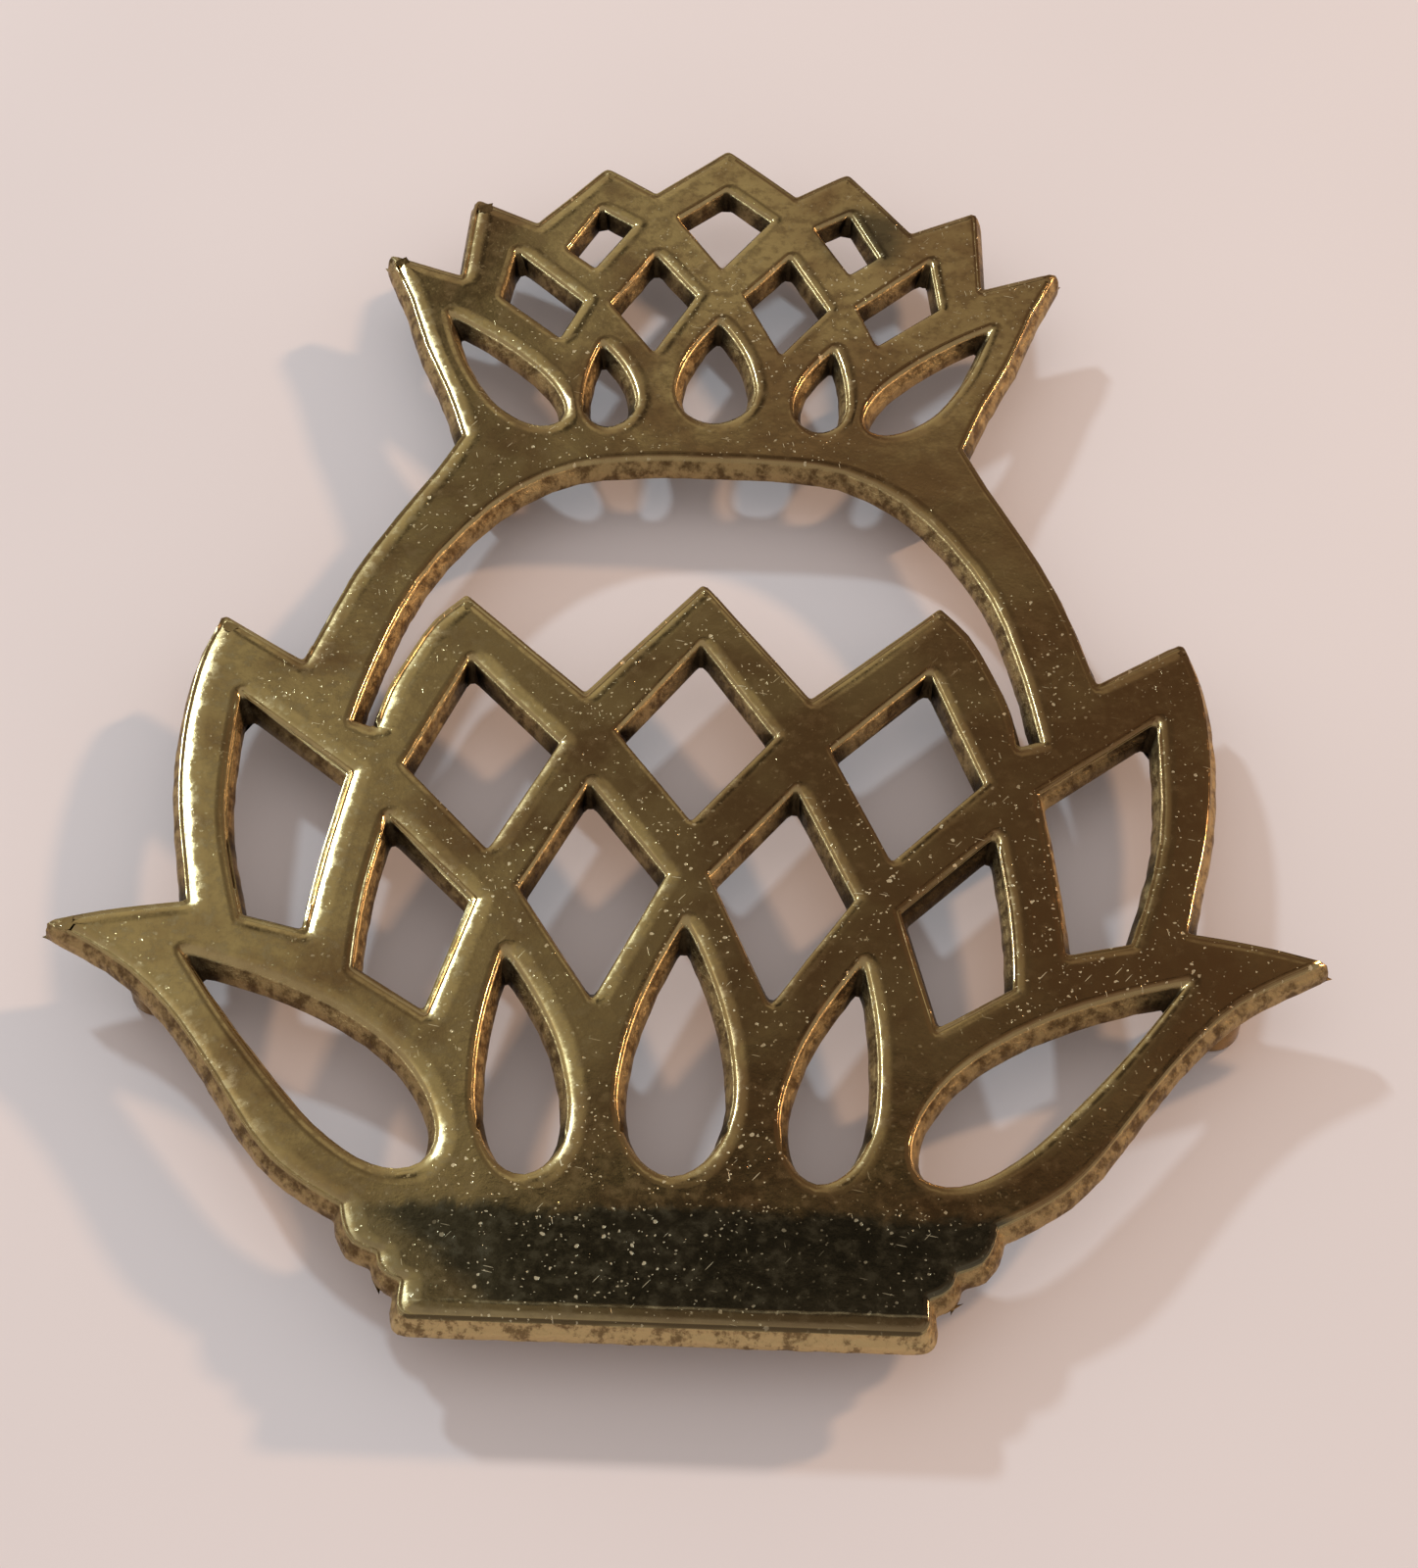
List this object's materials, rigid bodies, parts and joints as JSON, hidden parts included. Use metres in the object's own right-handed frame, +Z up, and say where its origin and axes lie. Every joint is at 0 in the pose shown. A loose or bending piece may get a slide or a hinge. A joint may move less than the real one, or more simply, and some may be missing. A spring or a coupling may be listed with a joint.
{
  "type": "pineapple trivet",
  "caption": "Cast brass openwork trivet in the outline of a pineapple, with a lattice body, leaves, an open arch and a pointed crown, standing on short peg feet.",
  "frame": {"origin": "middle of the footprint, on the surface that the feet stand on", "axes": "+Z up, +Y from the base toward the crown, +X to the right seen from above with the crown away"},
  "size_m": [0.1916, 0.2458, 0.014],
  "materials": {
    "cast_brass": "polished top face, aged, with rough cast walls",
    "turned_brass": "smooth turned"
  },
  "bodies": {
    "root": {"trivet_plate": "cast_brass", "foot_leaf_right": "turned_brass", "foot_leaf_left": "turned_brass", "foot_crown_right": "turned_brass", "foot_crown_left": "turned_brass"}
  },
  "joints": []
}
